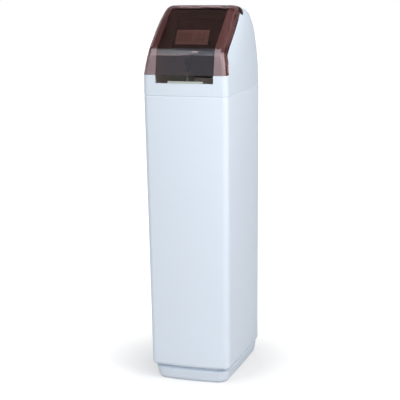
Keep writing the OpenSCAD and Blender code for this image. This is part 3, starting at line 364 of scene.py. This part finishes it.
# Unions: a ribbed nut over each rear port of the valve holds a tail with a parallel pipe thread.
# Each is turned as one form, its ribs raised from the nut and its thread wound on as a ridge.
def turned(name, outline, centre, steps):
    bpy.ops.object.select_all(action="DESELECT")
    bpy.ops.mesh.primitive_plane_add(size=0.001, location=centre + Vector((*outline[0], 0.0)))
    piece = bpy.context.active_object
    piece.name = name
    bpy.ops.object.transform_apply(location=True, rotation=True, scale=True)
    bpy.context.tool_settings.mesh_select_mode = (True, False, False)
    bpy.ops.object.mode_set(mode="EDIT")
    bpy.ops.mesh.select_all(action="SELECT")
    bpy.ops.mesh.merge(type="CENTER")
    for (radius, place), (next_radius, next_place) in zip(outline, outline[1:] + outline[:1]):
        bpy.ops.mesh.extrude_vertices_move(
            TRANSFORM_OT_translate={"value": (next_radius - radius, next_place - place, 0.0)})
    bpy.ops.mesh.select_all(action="SELECT")
    bpy.ops.mesh.spin(steps=steps, angle=2 * math.pi, center=centre, axis=(0, 1, 0))
    bpy.ops.mesh.select_all(action="SELECT")
    bpy.ops.mesh.remove_doubles(threshold=0.00001)
    bpy.ops.mesh.normals_make_consistent(inside=False)
    bpy.ops.object.mode_set(mode="OBJECT")
    return piece


def thread_ridge(centre, root, crest, pitch, start, turns):
    bpy.ops.object.select_all(action="DESELECT")
    bpy.ops.mesh.primitive_plane_add(size=1.0)
    ridge = bpy.context.active_object
    ridge.scale = (crest - root, 0.92 * pitch, 1.0)
    ridge.location = ((crest + root) / 2, start, 0.0)
    bpy.ops.object.transform_apply(location=True, rotation=True, scale=True)
    for corner in ridge.data.vertices:
        corner.select = corner.co.x > (crest + root) / 2
    bpy.context.tool_settings.mesh_select_mode = (True, False, False)
    bpy.ops.object.mode_set(mode="EDIT")
    bpy.ops.transform.resize(value=(1.0, 0.2, 1.0), center_override=(crest, start, 0.0))
    bpy.ops.object.mode_set(mode="OBJECT")
    wound_on = ridge.modifiers.new("wound thread", "SCREW")
    wound_on.axis = "Y"
    wound_on.angle = 2 * math.pi
    wound_on.screw_offset = pitch
    wound_on.iterations = turns
    wound_on.steps = 36
    wound_on.render_steps = 36
    bpy.ops.object.modifier_apply(modifier=wound_on.name)
    bpy.ops.object.mode_set(mode="EDIT")
    bpy.ops.mesh.select_all(action="SELECT")
    bpy.ops.mesh.fill_holes(sides=4)
    bpy.ops.mesh.select_all(action="SELECT")
    bpy.ops.mesh.normals_make_consistent(inside=False)
    bpy.ops.object.mode_set(mode="OBJECT")
    ridge.location = centre
    bpy.ops.object.transform_apply(location=True, rotation=True, scale=True)
    return ridge


union_steps = 48
tail_bore = 0.0095
tail_root = 0.0121
tail_crest = 0.0132
tail_chamfer = 0.0006
thread_pitch = 0.001814
thread_turns = 17
thread_runout = 0.0008
thread_sink = 0.0003
nut_radius = 0.0193
nut_length = 0.020
nut_bevel = 0.0012
rib_height = 0.0015
rib_steps = 4
rib_slack = 0.0005
socket_radius = 0.0163
socket_depth = 0.016


def on_rib(centre, axis, nut_start):
    outwards = Vector((centre.x - axis.x, 0.0, centre.z - axis.z))
    step = math.floor(math.atan2(outwards.z, outwards.x) / (2 * math.pi) * union_steps)
    on_nut = nut_start + nut_bevel < centre.y < nut_start + nut_length - nut_bevel
    return on_nut and outwards.length > nut_radius - rib_slack and step % rib_steps < rib_steps / 2


for node in ("inlet_connector", "outlet_connector"):
    union_low, union_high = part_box(node)
    axis = Vector(((union_low.x + union_high.x) / 2, 0.0, (union_low.z + union_high.z) / 2))
    nut_start, tail_end = union_low.y, union_high.y
    nut_end = nut_start + nut_length
    thread_start = tail_end - (thread_turns + 1) * thread_pitch
    union = turned(node.replace("connector", "union"), [
        (tail_bore, tail_end), (tail_root - tail_chamfer, tail_end), (tail_root, tail_end - tail_chamfer),
        (tail_root, thread_start), (tail_crest, thread_start - thread_runout), (tail_crest, nut_end),
        (nut_radius - nut_bevel, nut_end), (nut_radius, nut_end - nut_bevel), (nut_radius, nut_start + nut_bevel),
        (nut_radius - nut_bevel, nut_start), (socket_radius, nut_start), (socket_radius, nut_start + socket_depth),
        (tail_bore, nut_start + socket_depth)], axis, union_steps)
    select_faces(union, lambda centre, normal: on_rib(centre, axis, nut_start))
    bpy.ops.mesh.extrude_region_shrink_fatten(TRANSFORM_OT_shrink_fatten={"value": rib_height})
    bpy.ops.object.mode_set(mode="OBJECT")
    ridge = thread_ridge(axis, tail_root - thread_sink, tail_crest, thread_pitch, thread_start + thread_pitch / 2,
                         thread_turns)
    pick(union)
    ridge.select_set(True)
    bpy.ops.object.join()
    shade_by_angle(union, 32)
    union.data.materials.clear()
    union.data.materials.append(black_plastic)
    fasten(union, node)
    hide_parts(node)

# Elbows: the barbed drain tail, the brine elbow and the overflow in its pocket, all in black plastic.
# Each is pushed on its port and held by a clip or a nut.
for node in ("drain_elbow", "brine_elbow", "overflow_elbow"):
    moulding(node, black_plastic, rounding=0.0004)

# Brine side: a milky tube from the valve to the safety float, which stands in a slotted well.
# The well, its cap and the float lift out for cleaning.
moulding("brine_tube", plastic("milky tube", (0.70, 0.74, 0.73), 0.2, grain=400.0, bump=0.03))
well_plastic = plastic("well plastic", (0.76, 0.79, 0.82), 0.4, grain=900.0, shade=0.05)
moulding("brine_well", well_plastic, rounding=0.0004)
moulding("well_cap", well_plastic, rounding=0.001)
dress("float_valve", white_plastic)
moulding("float", plastic("orange float", (0.72, 0.28, 0.04), 0.4, grain=1000.0, shade=0.06), rounding=0.002)

# Hood: injection moulded in the same white, pressed on the cabinet's rim by its inner lip. Its colour here is set a
# little darker than the cabinet's, as painted shade.
# Its front carries the rebate for the lid, the opening to the salt and the finger notch.
# Its inner faces, its lip and the trench behind the lid's top edge are painted grey and matt, a painted shade for the
# shade inside the hood; the plastic there is the same white.
# The hood's colour is the cabinet white a little darker: painted shade.
hood = moulding("hood", plastic("satin white hood with painted shade", (0.68, 0.755, 0.84), 0.34))
# The second material is a grey that paints shade on the hood's inner faces, lip and trench.
hood.data.materials.append(plastic("painted shade hood inside", (0.47, 0.50, 0.46), 0.6, shade=0.1))
trench_half, trench_low, trench_reach = 0.112, 1.10, 0.03
lip_half = 0.055
lip_low, lip_high, lip_front = 0.9142, 0.924, -0.18
lip_drop = 0.0035
lip_edge_z, lip_edge_slack, lip_edge_back = 0.923, 0.0006, -0.15
inward_least = 0.01
upright_most = 0.9
select_points(hood, lambda spot: (abs(spot.x) < lip_half and abs(spot.z - lip_edge_z) < lip_edge_slack
                                  and spot.y < lip_edge_back))
bpy.ops.transform.translate(value=(0.0, 0.0, -lip_drop))
bpy.ops.object.mode_set(mode="OBJECT")
# Faces picked here take the grey painted shade.
for face in hood.data.polygons:
    inward = -(face.center.x * face.normal.x + face.center.y * face.normal.y)
    faces_in = inward > inward_least and abs(face.normal.z) < upright_most
    on_lip = abs(face.center.x) < lip_half and lip_low < face.center.z < lip_high and face.center.y > lip_front
    in_trench = (abs(face.center.x) < trench_half and abs(face.center.y) < trench_reach
                 and face.center.z > trench_low)
    if faces_in or on_lip or in_trench:
        face.material_index = 1

# Lid: one flap of brown smoked acrylic with polished faces, hung on two stubs in its round ears.
# It lies flush in the hood's rebate, so the white frame shows through it. Beside the opening, under the crease and
# off the side returns, its front is tinted paler, a painted reflection.
# Its crease is rounded by bump alone, which draws the bright strip under it.
smoked, smoked_tree, smoked_shader = new_material("smoked acrylic")
opening_half = 0.089
crease_z = 1.015
crease_round = 0.022
crease_curve = -7.0
return_facing = 0.5
lid_tint = (0.41, 0.245, 0.22, 1)
# The paler tint is a painted reflection on the front beside the opening.
lid_painted_veil_tint = (0.66, 0.50, 0.47, 1)
polish = place_group(smoked_tree, mould_grain, Grain=60.0, Shade=0.05, Rough=0.035, Spread=0.03)
smoked_place = add_node(smoked_tree, "TexCoord")
smoked_axes = add_node(smoked_tree, "SeparateXYZ")
# This mix lays the painted reflection's paler tint beside the opening, under the crease, off the side returns.
smoked_painted_veil = add_node(smoked_tree, "Mix")
smoked_painted_veil.data_type = "RGBA"
smoked_painted_veil.inputs[6].default_value = lid_tint
smoked_painted_veil.inputs[7].default_value = lid_painted_veil_tint
smoked_tree.links.new(smoked_place.outputs["Object"], smoked_axes.inputs[0])
beside_opening = add_math(smoked_tree, "GREATER_THAN", add_math(smoked_tree, "ABSOLUTE", smoked_axes.outputs["X"]),
                          opening_half)
under_crease = add_math(smoked_tree, "LESS_THAN", smoked_axes.outputs["Z"], crease_z)
smoked_facing = add_node(smoked_tree, "SeparateXYZ")
smoked_tree.links.new(smoked_place.outputs["Normal"], smoked_facing.inputs[0])
off_return = add_math(smoked_tree, "LESS_THAN", add_math(smoked_tree, "ABSOLUTE", smoked_facing.outputs["X"]),
                      return_facing)
on_front = add_math(smoked_tree, "MULTIPLY", under_crease, off_return)
smoked_tree.links.new(add_math(smoked_tree, "MULTIPLY", beside_opening, on_front), smoked_painted_veil.inputs[0])
smoked_tree.links.new(smoked_painted_veil.outputs[2], polish.inputs["Color"])
smoked_tree.links.new(polish.outputs["Color"], smoked_shader.inputs["Base Color"])
smoked_tree.links.new(polish.outputs["Roughness"], smoked_shader.inputs["Roughness"])
into_crease = add_math(smoked_tree, "SUBTRACT", smoked_axes.outputs["Z"], crease_z - crease_round)
into_crease = add_math(smoked_tree, "MULTIPLY", add_math(smoked_tree, "MAXIMUM", into_crease, 0.0), under_crease)
crease_fall = add_math(smoked_tree, "MULTIPLY", add_math(smoked_tree, "MULTIPLY", into_crease, into_crease),
                       crease_curve)
bump_from(smoked_tree, crease_fall, smoked_shader, 1.0, 1.0)
smoked_shader.inputs["Transmission Weight"].default_value = 1.0
smoked_shader.inputs["IOR"].default_value = 1.49
moulding("lid", smoked)

# Studio: a pale floor that runs up to a white background, soft lamps and a soft bright surround.
# The surround is dark overhead, so that the lid's upper face reflects nothing bright.
# The floor is lifted to white for the camera alone, less near the object, so painted shade darkens it around the base
# on top of its real shadow; a brighter card in front is seen by reflections alone.
bpy.ops.object.select_all(action="DESELECT")
bpy.ops.mesh.primitive_plane_add(size=30.0)
floor = bpy.context.active_object
floor.name = "studio_floor"
paper, paper_tree, paper_shader = new_material("studio paper")
paper_shader.inputs["Base Color"].default_value = (0.55, 0.55, 0.55, 1)
paper_shader.inputs["Roughness"].default_value = 0.9
paper_shader.inputs["Emission Color"].default_value = (1, 1, 1, 1)
paper_path = add_node(paper_tree, "LightPath")
paper_place = add_node(paper_tree, "TexCoord")
paper_reach = add_node(paper_tree, "VectorMath")
paper_reach.operation = "LENGTH"
# The glow is weakest near the object: painted shade around the base, added to the real shadow.
paper_glow_and_painted_shade = add_node(paper_tree, "MapRange", From_Min=0.17, From_Max=0.6, To_Min=0.40, To_Max=1.0)
paper_tree.links.new(paper_place.outputs["Object"], paper_reach.inputs[0])
paper_tree.links.new(paper_reach.outputs["Value"], paper_glow_and_painted_shade.inputs["Value"])
paper_tree.links.new(add_math(paper_tree, "MULTIPLY", paper_path.outputs["Is Camera Ray"], paper_glow_and_painted_shade.outputs[0]),
                     paper_shader.inputs["Emission Strength"])
floor.data.materials.append(paper)

surround = bpy.data.worlds.new("studio surround")
bpy.context.scene.world = surround
surround.use_nodes = True
surround_tree = surround.node_tree
surround_tree.nodes.clear()
surround_out = surround_tree.nodes.new("ShaderNodeOutputWorld")
surround_place = add_node(surround_tree, "TexCoord")
surround_axes = add_node(surround_tree, "SeparateXYZ")
surround_path = add_node(surround_tree, "LightPath")
surround_ramp = add_node(surround_tree, "MapRange", From_Min=0.58, From_Max=0.84, To_Min=1.0, To_Max=0.03)
surround_back = add_node(surround_tree, "MapRange", From_Min=-0.2, From_Max=0.5, To_Min=1.0, To_Max=0.4)
surround_right = add_node(surround_tree, "MapRange", From_Min=0.12, From_Max=0.6, To_Min=1.0, To_Max=0.15)
surround_soft = add_node(surround_tree, "Background")
surround_tint = add_node(surround_tree, "Mix")
surround_tint.data_type = "RGBA"
surround_tint.inputs[6].default_value = (1, 1, 1, 1)
surround_tint.inputs[7].default_value = (0.9, 0.99, 1.15, 1)
surround_tree.links.new(surround_path.outputs["Is Glossy Ray"], surround_tint.inputs[0])
surround_tree.links.new(surround_tint.outputs[2], surround_soft.inputs["Color"])
surround_tree.links.new(surround_place.outputs["Generated"], surround_axes.inputs[0])
surround_tree.links.new(surround_axes.outputs["Z"], surround_ramp.inputs["Value"])
surround_tree.links.new(surround_axes.outputs["Y"], surround_back.inputs["Value"])
surround_seen = add_math(surround_tree, "MAXIMUM", surround_path.outputs["Is Camera Ray"],
                         surround_path.outputs["Is Transmission Ray"])
surround_tree.links.new(surround_axes.outputs["X"], surround_right.inputs["Value"])
mirrored = add_math(surround_tree, "POWER", surround_back.outputs[0], 3.0)
mirrored = add_math(surround_tree, "MULTIPLY", mirrored, surround_right.outputs[0])
mirrored = add_math(surround_tree, "SUBTRACT", mirrored, surround_back.outputs[0])
surround_share = add_math(surround_tree, "MULTIPLY_ADD", mirrored, surround_path.outputs["Is Glossy Ray"],
                          surround_back.outputs[0])
surround_share = add_math(surround_tree, "MAXIMUM", surround_seen, surround_share)
surround_level = add_math(surround_tree, "MULTIPLY", surround_ramp.outputs[0], surround_share)
card_gain = 1.9
card_height = add_node(surround_tree, "MapRange", From_Min=0.36, From_Max=0.40)
card_width = add_node(surround_tree, "MapRange", From_Min=-0.6, From_Max=-0.2)
surround_tree.links.new(surround_axes.outputs["Z"], card_height.inputs["Value"])
surround_tree.links.new(surround_axes.outputs["X"], card_width.inputs["Value"])
card = add_math(surround_tree, "MULTIPLY", card_height.outputs[0], card_width.outputs[0])
card_seen = add_math(surround_tree, "MULTIPLY", card, surround_path.outputs["Is Glossy Ray"])
card_level = add_math(surround_tree, "MULTIPLY_ADD", card_seen, card_gain, 1.0)
surround_tree.links.new(add_math(surround_tree, "MULTIPLY", surround_level, card_level),
                        surround_soft.inputs["Strength"])
surround_tree.links.new(surround_soft.outputs[0], surround_out.inputs["Surface"])


def soft_lamp(name, spot, aim, width, height, watts):
    lamp = bpy.data.lights.new(name, "AREA")
    lamp.shape = "RECTANGLE"
    lamp.size = width
    lamp.size_y = height
    lamp.energy = watts
    holder = bpy.data.objects.new(name, lamp)
    bpy.context.scene.collection.objects.link(holder)
    holder.location = spot
    holder.rotation_euler = (Vector(aim) - Vector(spot)).to_track_quat("-Z", "Y").to_euler()
    return holder


soft_lamp("key_softbox", (1.6, -2.1, 1.7), (0, 0, 0.6), 2.0, 1.8, 13)
soft_lamp("front_softbox", (-1.8, -2.4, 2.7), (0, 0, 0.5), 2.0, 1.4, 17)
soft_lamp("right_softbox", (1.5, -0.75, 1.6), (0, 0, 0.65), 0.9, 1.2, 18)
rear_softbox = soft_lamp("rear_softbox", (-1.2, 2.4, 0.9), (0, 0, 0.7), 1.6, 1.0, 8)
rear_softbox.visible_glossy = False
rear_softbox.visible_transmission = False
soft_lamp("top_softbox", (0.0, -0.3, 3.2), (0, -0.05, 0.5), 2.2, 2.2, 17).visible_glossy = False

# Camera: a long lens a little above the lid, to the right of the front.
# Its place, roll and reach were fitted to the photograph's perspective.
view_azimuth = math.radians(18.58)
view_elevation = math.radians(11.67)
view_roll = math.radians(-0.88)
view_target = Vector((-0.01881, 0.0035, 0.53116))
view_distance = 3.7246
away = Vector((math.sin(view_azimuth) * math.cos(view_elevation), -math.cos(view_azimuth) * math.cos(view_elevation),
               math.sin(view_elevation)))
level = Vector((math.cos(view_azimuth), math.sin(view_azimuth), 0.0))
upright = away.cross(level)
right_hand = level * math.cos(view_roll) + upright * math.sin(view_roll)
overhead = upright * math.cos(view_roll) - level * math.sin(view_roll)
lens = bpy.data.cameras.new("photo_camera")
lens.sensor_width = 36.0
lens.lens = 107.57
camera = bpy.data.objects.new("photo_camera", lens)
bpy.context.scene.collection.objects.link(camera)
pose = Matrix((right_hand, overhead, away)).transposed().to_4x4()
pose.translation = view_target + away * view_distance
camera.matrix_world = pose
bpy.context.scene.camera = camera
bpy.context.scene.view_settings.view_transform = "Standard"
